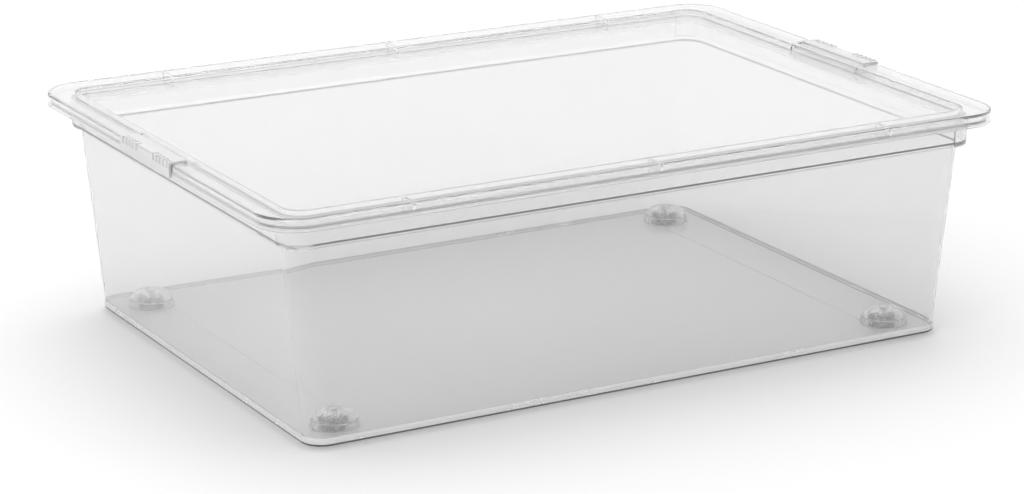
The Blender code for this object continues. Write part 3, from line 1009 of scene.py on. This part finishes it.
lid_section = [
    level(RECESS, RECESS_CORNER, PANEL_TOP, WALL, 0.8 * MM),
    level(RECESS, RECESS_CORNER, LID_TOP, WALL, 0.7 * MM),
    level(LID, LID_CORNER, LID_TOP, 0, 1.2 * MM),
    level(LID, LID_CORNER, SKIRT_BOTTOM, 0, 0.5 * MM),
    level(LID, LID_CORNER, SKIRT_BOTTOM, WALL, 0.5 * MM),
    level(LID, LID_CORNER, LID_TOP - WALL, WALL, 0.4 * MM),
    level(RECESS, RECESS_CORNER, LID_TOP - WALL, 0, 0.4 * MM),
    level(RECESS, RECESS_CORNER, PANEL_TOP - WALL, 0, 1 * MM),
]
channel_floor = RIM_TOP + RIB_GAP
channel_height = LID_TOP - WALL / 2 - channel_floor
channel_middle = channel_floor + channel_height / 2


def channel_wall(along, inner, outer, middle, sideways):
    """A thin wall across the border's channel: a rib in a long side or a notch's end."""
    span = outer - inner
    centre = (inner + outer) / 2
    if sideways:
        return block((WALL, span, channel_height), (along, middle * centre, channel_middle))
    return block((span, WALL, channel_height), (middle * centre, along, channel_middle))


# %% [markdown]
# ## Moulding the lid
#
# The ribs and the notches' end walls are thin blocks that join the border's roof and its two
# sides. They overlap the shell by half a wall, so that the join leaves no skin inside. The
# notches and the bores for the hinge pins are cut last, through shell and walls together.

# %% Mould the lid
lid = as_object(shell(lid_section), "lid_shell")
ribs = [
    channel_wall(along, RECESS[1] - WALL / 2, LID[1] - WALL / 2, sign, True)
    for along in (-RIB_SPACING, 0, RIB_SPACING)
    for sign in (-1, 1)
]
notch_end = CLIP_LENGTH / 2 + CLIP_END_GAP
end_wall = notch_end + WALL / 2
ribs += [
    channel_wall(end * end_wall, RECESS[0] - WALL / 2, LID[0] - WALL / 2, sign, False)
    for end in (-1, 1)
    for sign in (-1, 1)
]
combine(lid, ribs, "UNION")
cuts = []
for sign in (-1, 1):
    deep = NOTCH_IN + WALL
    middle = sign * (LID[0] - NOTCH_IN + deep / 2)
    notch_size = (deep, 2 * notch_end, 8 * WALL)
    cuts.append(block(notch_size, (middle, 0, LID_TOP - 3 * WALL), NOTCH_RADIUS))
    bore = rod(PIN_RADIUS + PIN_FIT, notch_end + 2 * WALL, PIN_SEGMENTS, "Y")
    cuts.append(at(bore, (sign * HINGE_X, 0, HINGE_Z)))
combine(lid, cuts, "DIFFERENCE")
finish_piece(lid, [lid_plastic], "lid", "lid")

# %% [markdown]
# ## The clips
#
# Each clip is a saddle over the border: a round knuckle on stub pins, a top plate, and a leg
# that hangs outside the skirt with a catch under the tray's rim. Two groups of five ribs wrap
# its outer edge, for the thumb. One section extruded along the side gives the saddle.

# %% Mould the clips
CLIP_PROUD = 1.3 * MM
CLIP_CHAMFER = 1 * MM
CLIP_RADIUS = 0.25 * MM
CLIP_SOFTEN_OVER = radians(35)
KNUCKLE = 2.3 * MM
KNUCKLE_STEPS = 20
CLIP_TAIL = 1 * MM
CATCH_GAP = 0.3 * MM
PIN_REACH = 2.2 * MM
GRIP_COUNT = 5
GRIP_PITCH = 5.3 * MM
GRIP_WIDTH = 2.2 * MM
GRIP_PROUD = 0.5 * MM
GRIP_REACH = 5 * MM
GRIP_END = 3.5 * MM
GRIP_RADIUS = 0.4 * MM


def clip_section():
    """The clip's section about its hinge axis, from the tail over the top to the catch."""
    top = LID_TOP + CLIP_PROUD - HINGE_Z
    outer = LID[0] + CLIP_PROUD - HINGE_X
    bottom = clip_low.z - HINGE_Z
    catch = RIM[0] + CATCH_GAP - HINGE_X
    points = [
        (-CLIP_TAIL, top),
        (outer - CLIP_CHAMFER, top),
        (outer - 0.3 * CLIP_CHAMFER, top - 0.3 * CLIP_CHAMFER),
        (outer, top - CLIP_CHAMFER),
        (outer, bottom),
        (outer - WALL, bottom),
        (catch, bottom + CLIP_CHAMFER),
        (catch, bottom + 1.5 * CLIP_CHAMFER),
        (outer - WALL, bottom + 2.5 * CLIP_CHAMFER),
        (outer - WALL, top - WALL),
    ]
    start = asin((top - WALL) / KNUCKLE)
    end = -pi - asin((KNUCKLE**2 - CLIP_TAIL**2) ** 0.5 / KNUCKLE)
    knuckle = quarter(KNUCKLE_STEPS, start, end)
    return points + [(KNUCKLE * cos(a), KNUCKLE * sin(a)) for a in knuckle]


def clip_grips():
    """Two groups of ribs that wrap the clip's top outer edge."""
    outer = LID[0] + CLIP_PROUD + GRIP_PROUD - HINGE_X
    top = LID_TOP + CLIP_PROUD + GRIP_PROUD - HINGE_Z
    first = CLIP_LENGTH / 2 - GRIP_END - GRIP_WIDTH / 2
    size = (GRIP_REACH, GRIP_WIDTH, GRIP_REACH)
    spots = [
        (outer - GRIP_REACH / 2, end * (first - count * GRIP_PITCH), top - GRIP_REACH / 2)
        for end in (-1, 1)
        for count in range(GRIP_COUNT)
    ]
    return [block(size, spot, GRIP_RADIUS) for spot in spots]


for name, sign in (("clip_left", -1), ("clip_right", 1)):
    saddle = pressed(clip_section(), CLIP_LENGTH)
    soften(saddle, CLIP_RADIUS, CLIP_SOFTEN_OVER)
    clip = as_object(saddle, f"{name}_saddle")
    pins = rod(PIN_RADIUS, CLIP_LENGTH / 2 + PIN_REACH, PIN_SEGMENTS, "Y")
    combine(clip, clip_grips() + [pins], "UNION")
    placed = bmesh.new()
    placed.from_mesh(clip.data)
    if sign < 0:
        bmesh.ops.rotate(placed, verts=placed.verts, matrix=Matrix.Rotation(pi, 3, "Z"))
    at(placed, (sign * HINGE_X, 0, HINGE_Z)).to_mesh(clip.data)
    placed.free()
    finish_piece(clip, [clip_plastic], name, name)

# %% [markdown]
# ## The castors
#
# A castor is three mouldings and a pin: a body with its stem, twin wheels, and a steel axle
# with a head at each end. All are turned shapes, so each is a profile spun round its own axis
# and set in its place. The wheels are dished, with pockets pressed between six spokes.

# %% Castor shapes
WHEEL_RADIUS = 6 * MM
WHEEL_WIDTH = 3.6 * MM
WHEEL_INNER_FACE = 4.4 * MM
WHEEL_BORE = 1.06 * MM
WHEEL_BOSS = 2.2 * MM
WHEEL_DISH = 0.6 * MM
WHEEL_EDGE = 0.9 * MM
BORE_CHAMFER = 0.2 * MM
TREAD_STEPS = 4
HUB_RADIUS = 5.2 * MM
HUB_HALF = 4 * MM
HUB_EDGE = 1 * MM
HUB_STEPS = 5
COLLAR_RADIUS = 3.2 * MM
COLLAR_TOP = 11.5 * MM
COLLAR_CHAMFER = 0.3 * MM
STEM_TOP = 14.5 * MM
STEM_TIP = 0.5 * MM
AXLE_RADIUS = 1 * MM
AXLE_HEAD_RADIUS = 1.7 * MM
AXLE_HEAD = 0.5 * MM
AXLE_HEAD_GAP = 0.3 * MM
AXLE_CHAMFER = 0.15 * MM
SPOKES = 6
POCKET_SHARE = 0.36
POCKET_IN = 0.15 * MM
POCKET_DEEP = 0.5 * MM


def turn_from(face, angle):
    """How far round the axis a face lies from an angle, at most half a turn."""
    middle = face.calc_center_median()
    return abs((atan2(middle.y, middle.x) - angle + pi) % (2 * pi) - pi)


def wheel():
    """A wheel about X: a rounded tread, dished faces and a boss round the bore."""
    half = WHEEL_WIDTH / 2
    rim = WHEEL_RADIUS - WHEEL_EDGE
    tread = [
        (rim + WHEEL_EDGE * cos(angle), half - WHEEL_EDGE + WHEEL_EDGE * sin(angle))
        for angle in reversed(quarter(TREAD_STEPS))
    ]
    side = [
        (WHEEL_BORE, half - BORE_CHAMFER),
        (WHEEL_BORE + BORE_CHAMFER, half),
        (WHEEL_BOSS, half),
        (WHEEL_BOSS + WHEEL_DISH, half - WHEEL_DISH),
        (rim - WHEEL_DISH, half - WHEEL_DISH),
        *tread,
    ]
    section = side + [(radius, -height) for radius, height in reversed(side)]
    bm = turned(section, ROUND_SEGMENTS, "Z", closed=True)
    for face_side in (-1, 1):
        dish_z = face_side * (half - WHEEL_DISH)
        dish = [f for f in bm.faces if abs(f.calc_center_median().z - dish_z) < MICRON]
        for spoke in range(SPOKES):
            sector = 2 * pi / SPOKES
            bmesh.ops.inset_region(
                bm,
                faces=[f for f in dish if turn_from(f, spoke * sector) < POCKET_SHARE * sector],
                thickness=POCKET_IN,
                depth=-POCKET_DEEP,
                use_even_offset=True,
            )
    bmesh.ops.rotate(bm, verts=bm.verts, matrix=Matrix.Rotation(pi / 2, 3, "Y"))
    return bm


def hub():
    """The solid middle of a castor's body, about X."""
    side = [
        (
            HUB_RADIUS - HUB_EDGE + HUB_EDGE * cos(angle),
            HUB_HALF - HUB_EDGE + HUB_EDGE * sin(angle),
        )
        for angle in reversed(quarter(HUB_STEPS))
    ]
    low = [(radius, -height) for radius, height in reversed(side)]
    return turned([(0, HUB_HALF), *side, *low, (0, -HUB_HALF)], ROUND_SEGMENTS, "X")


def stem():
    """The collar and the stem that turns in the dome's socket."""
    profile = [
        (0, WHEEL_RADIUS),
        (COLLAR_RADIUS, WHEEL_RADIUS),
        (COLLAR_RADIUS, COLLAR_TOP - COLLAR_CHAMFER),
        (COLLAR_RADIUS - COLLAR_CHAMFER, COLLAR_TOP),
        (STEM_RADIUS, COLLAR_TOP),
        (STEM_RADIUS, STEM_TOP - STEM_TIP),
        (STEM_RADIUS - STEM_TIP, STEM_TOP),
        (0, STEM_TOP),
    ]
    return turned(profile, STEM_SEGMENTS)


def axle():
    """A pin with a flat head at each end, about X."""
    end = WHEEL_INNER_FACE + WHEEL_WIDTH + AXLE_HEAD_GAP
    tip = end + AXLE_HEAD
    half = [
        (AXLE_RADIUS, end),
        (AXLE_HEAD_RADIUS, end),
        (AXLE_HEAD_RADIUS, tip - AXLE_CHAMFER),
        (AXLE_HEAD_RADIUS - AXLE_CHAMFER, tip),
        (0, tip),
    ]
    other = [(radius, -height) for radius, height in reversed(half)]
    return turned(other + half, STEM_SEGMENTS, "X")


# %% [markdown]
# ## Assembling the castors
#
# The stem stands in its socket, and the axle trails a little behind it, which is what makes a
# castor turn to follow the box. The same shapes serve all four corners. Each piece rides its
# own body, so that the wheels can roll and the whole castor can swing.

# %% Mould and place the castors
for name in CASTORS:
    spot = castor_centre(name)
    axle_spot = spot + Vector((0, TRAIL, WHEEL_RADIUS))
    body = f"castor_{name}"
    core = as_object(at(hub(), axle_spot), f"{body}_hub")
    bore = rod(AXLE_RADIUS + RUNNING_FIT, 2 * HUB_HALF, STEM_SEGMENTS, "X")
    combine(core, [at(stem(), spot)], "UNION")
    combine(core, [at(bore, axle_spot)], "DIFFERENCE")
    finish_piece(core, [castor_plastic], body, f"{body}_body")
    pin = as_object(at(axle(), axle_spot), f"{body}_pin")
    finish_piece(pin, [axle_steel], body, f"{body}_axle")
    for side, sign in (("left", -1), ("right", 1)):
        offset = Vector((sign * (WHEEL_INNER_FACE + WHEEL_WIDTH / 2), 0, 0))
        disc = as_object(at(wheel(), axle_spot + offset), f"{body}_disc_{side}")
        node = f"{body}_wheel_{side}"
        finish_piece(disc, [wheel_plastic], node, node)

# %% [markdown]
# ## The room
#
# Clear plastic shows only what surrounds it, so the room matters as much as the finishes. The
# box stands on a big floor painted matt white, so that only its shadow shows where it stands.
# The paint isn't one flat white: rolled paint has a mottle, here too faint to pick out.

# %% Floor
FLOOR_HALF = 6.0
MOTTLE_SCALE = 3.0
MATT_PAINT = {"Roughness": 0.9, "Specular IOR Level": 0.1}

floor_bm = bmesh.new()
bmesh.ops.create_grid(floor_bm, x_segments=1, y_segments=1, size=FLOOR_HALF)
floor_mesh = bpy.data.meshes.new("floor")
floor_bm.to_mesh(floor_mesh)
floor_bm.free()
floor = bpy.data.objects.new("floor", floor_mesh)
bpy.context.scene.collection.objects.link(floor)

# White matt emulsion: it scatters almost all the light, so it stays white without a shine.
floor_paint, floor_tree, floor_output = new_material("white_matt_painted_floor")
floor_spot = add_node(floor_tree, "ShaderNodeTexCoord").outputs["Object"]
mottle = add_node(
    floor_tree,
    "ShaderNodeTexNoise",
    {"Vector": floor_spot, "Scale": MOTTLE_SCALE, "Detail": 2.0},
)
floor_tint = mixed_colour(floor_tree, mottle.outputs["Fac"], "F1F1F1", "F3F3F3")
matt = add_node(
    floor_tree,
    "ShaderNodeBsdfPrincipled",
    {"Base Color": floor_tint, **MATT_PAINT},
)
floor_tree.links.new(matt.outputs[0], floor_output.inputs["Surface"])
floor_mesh.materials.append(floor_paint)
print("floor", 2 * FLOOR_HALF, "m square")

# %% [markdown]
# ## Lights
#
# The room is white, a little greyer at the horizon and overhead, so that the walls and the
# edges have something to reflect. A big soft light overhead gives the body of the box its
# paleness. A weaker one on the left lights that side. It is kept out of reflections, because
# a bright square in every wall would hide the shape.

# %% Light the room
SKY_BANDS = ((0.0, "E8E8E8"), (0.16, "FFFFFF"), (0.45, "FFFFFF"), (0.7, "D4D4D4"))
OVERHEAD_POWER = 36
OVERHEAD_SIZE = (2.4, 2.4)
WINDOW_POWER = 14
WINDOW_SIZE = (1.4, 1.4)

world = bpy.data.worlds.new("studio")
bpy.context.scene.world = world
world.use_nodes = True
sky = world.node_tree
sky.nodes.clear()
gaze = add_node(sky, "ShaderNodeTexCoord").outputs["Generated"]
height = add_node(sky, "ShaderNodeSeparateXYZ", {0: gaze}).outputs["Z"]
bands = add_node(sky, "ShaderNodeValToRGB", {"Fac": height})
for level_up, _ in SKY_BANDS[1:-1]:
    bands.color_ramp.elements.new(level_up)
for element, (level_up, grey) in zip(bands.color_ramp.elements, SKY_BANDS):
    element.position = level_up
    element.color = linear(grey)
backdrop = add_node(
    sky, "ShaderNodeBackground", {"Color": bands.outputs["Color"], "Strength": 1.0}
)
add_node(sky, "ShaderNodeOutputWorld", {"Surface": backdrop.outputs[0]})


def softbox(name, spot, aim, size, power):
    """A square area light at a spot, facing a point."""
    data = bpy.data.lights.new(name, "AREA")
    data.shape = "RECTANGLE"
    data.size, data.size_y = size
    data.energy = power
    lamp = bpy.data.objects.new(name, data)
    bpy.context.scene.collection.objects.link(lamp)
    direction = Vector(aim) - Vector(spot)
    turned_to = direction.to_track_quat("-Z", "Y").to_matrix().to_4x4()
    lamp.matrix_world = Matrix.Translation(spot) @ turned_to
    return lamp


softbox("overhead", (0.3, 0.6, 2.6), (0, 0, 0), OVERHEAD_SIZE, OVERHEAD_POWER)
window = softbox("left_window", (-2.4, -0.6, 1.5), (0, 0, 0.1), WINDOW_SIZE, WINDOW_POWER)
window.visible_glossy = False
window.visible_transmission = False

# %% [markdown]
# ## Exposure and light paths
#
# The Standard view keeps white plastic on white as pale as it is; a film-like view would grey
# it. Light that crosses the box meets up to a dozen surfaces of lid, tray and domes, so the
# paths are let run long. Caustics are off, because the tinted panes already let light through.

# %% Exposure and light paths
LIGHT_BOUNCES = 24
PANE_BOUNCES = 48

scene = bpy.context.scene
scene.view_settings.view_transform = "Standard"
scene.view_settings.look = "None"
scene.cycles.max_bounces = LIGHT_BOUNCES
scene.cycles.transmission_bounces = LIGHT_BOUNCES
scene.cycles.glossy_bounces = LIGHT_BOUNCES
scene.cycles.transparent_max_bounces = PANE_BOUNCES
scene.cycles.caustics_refractive = False
scene.cycles.caustics_reflective = False
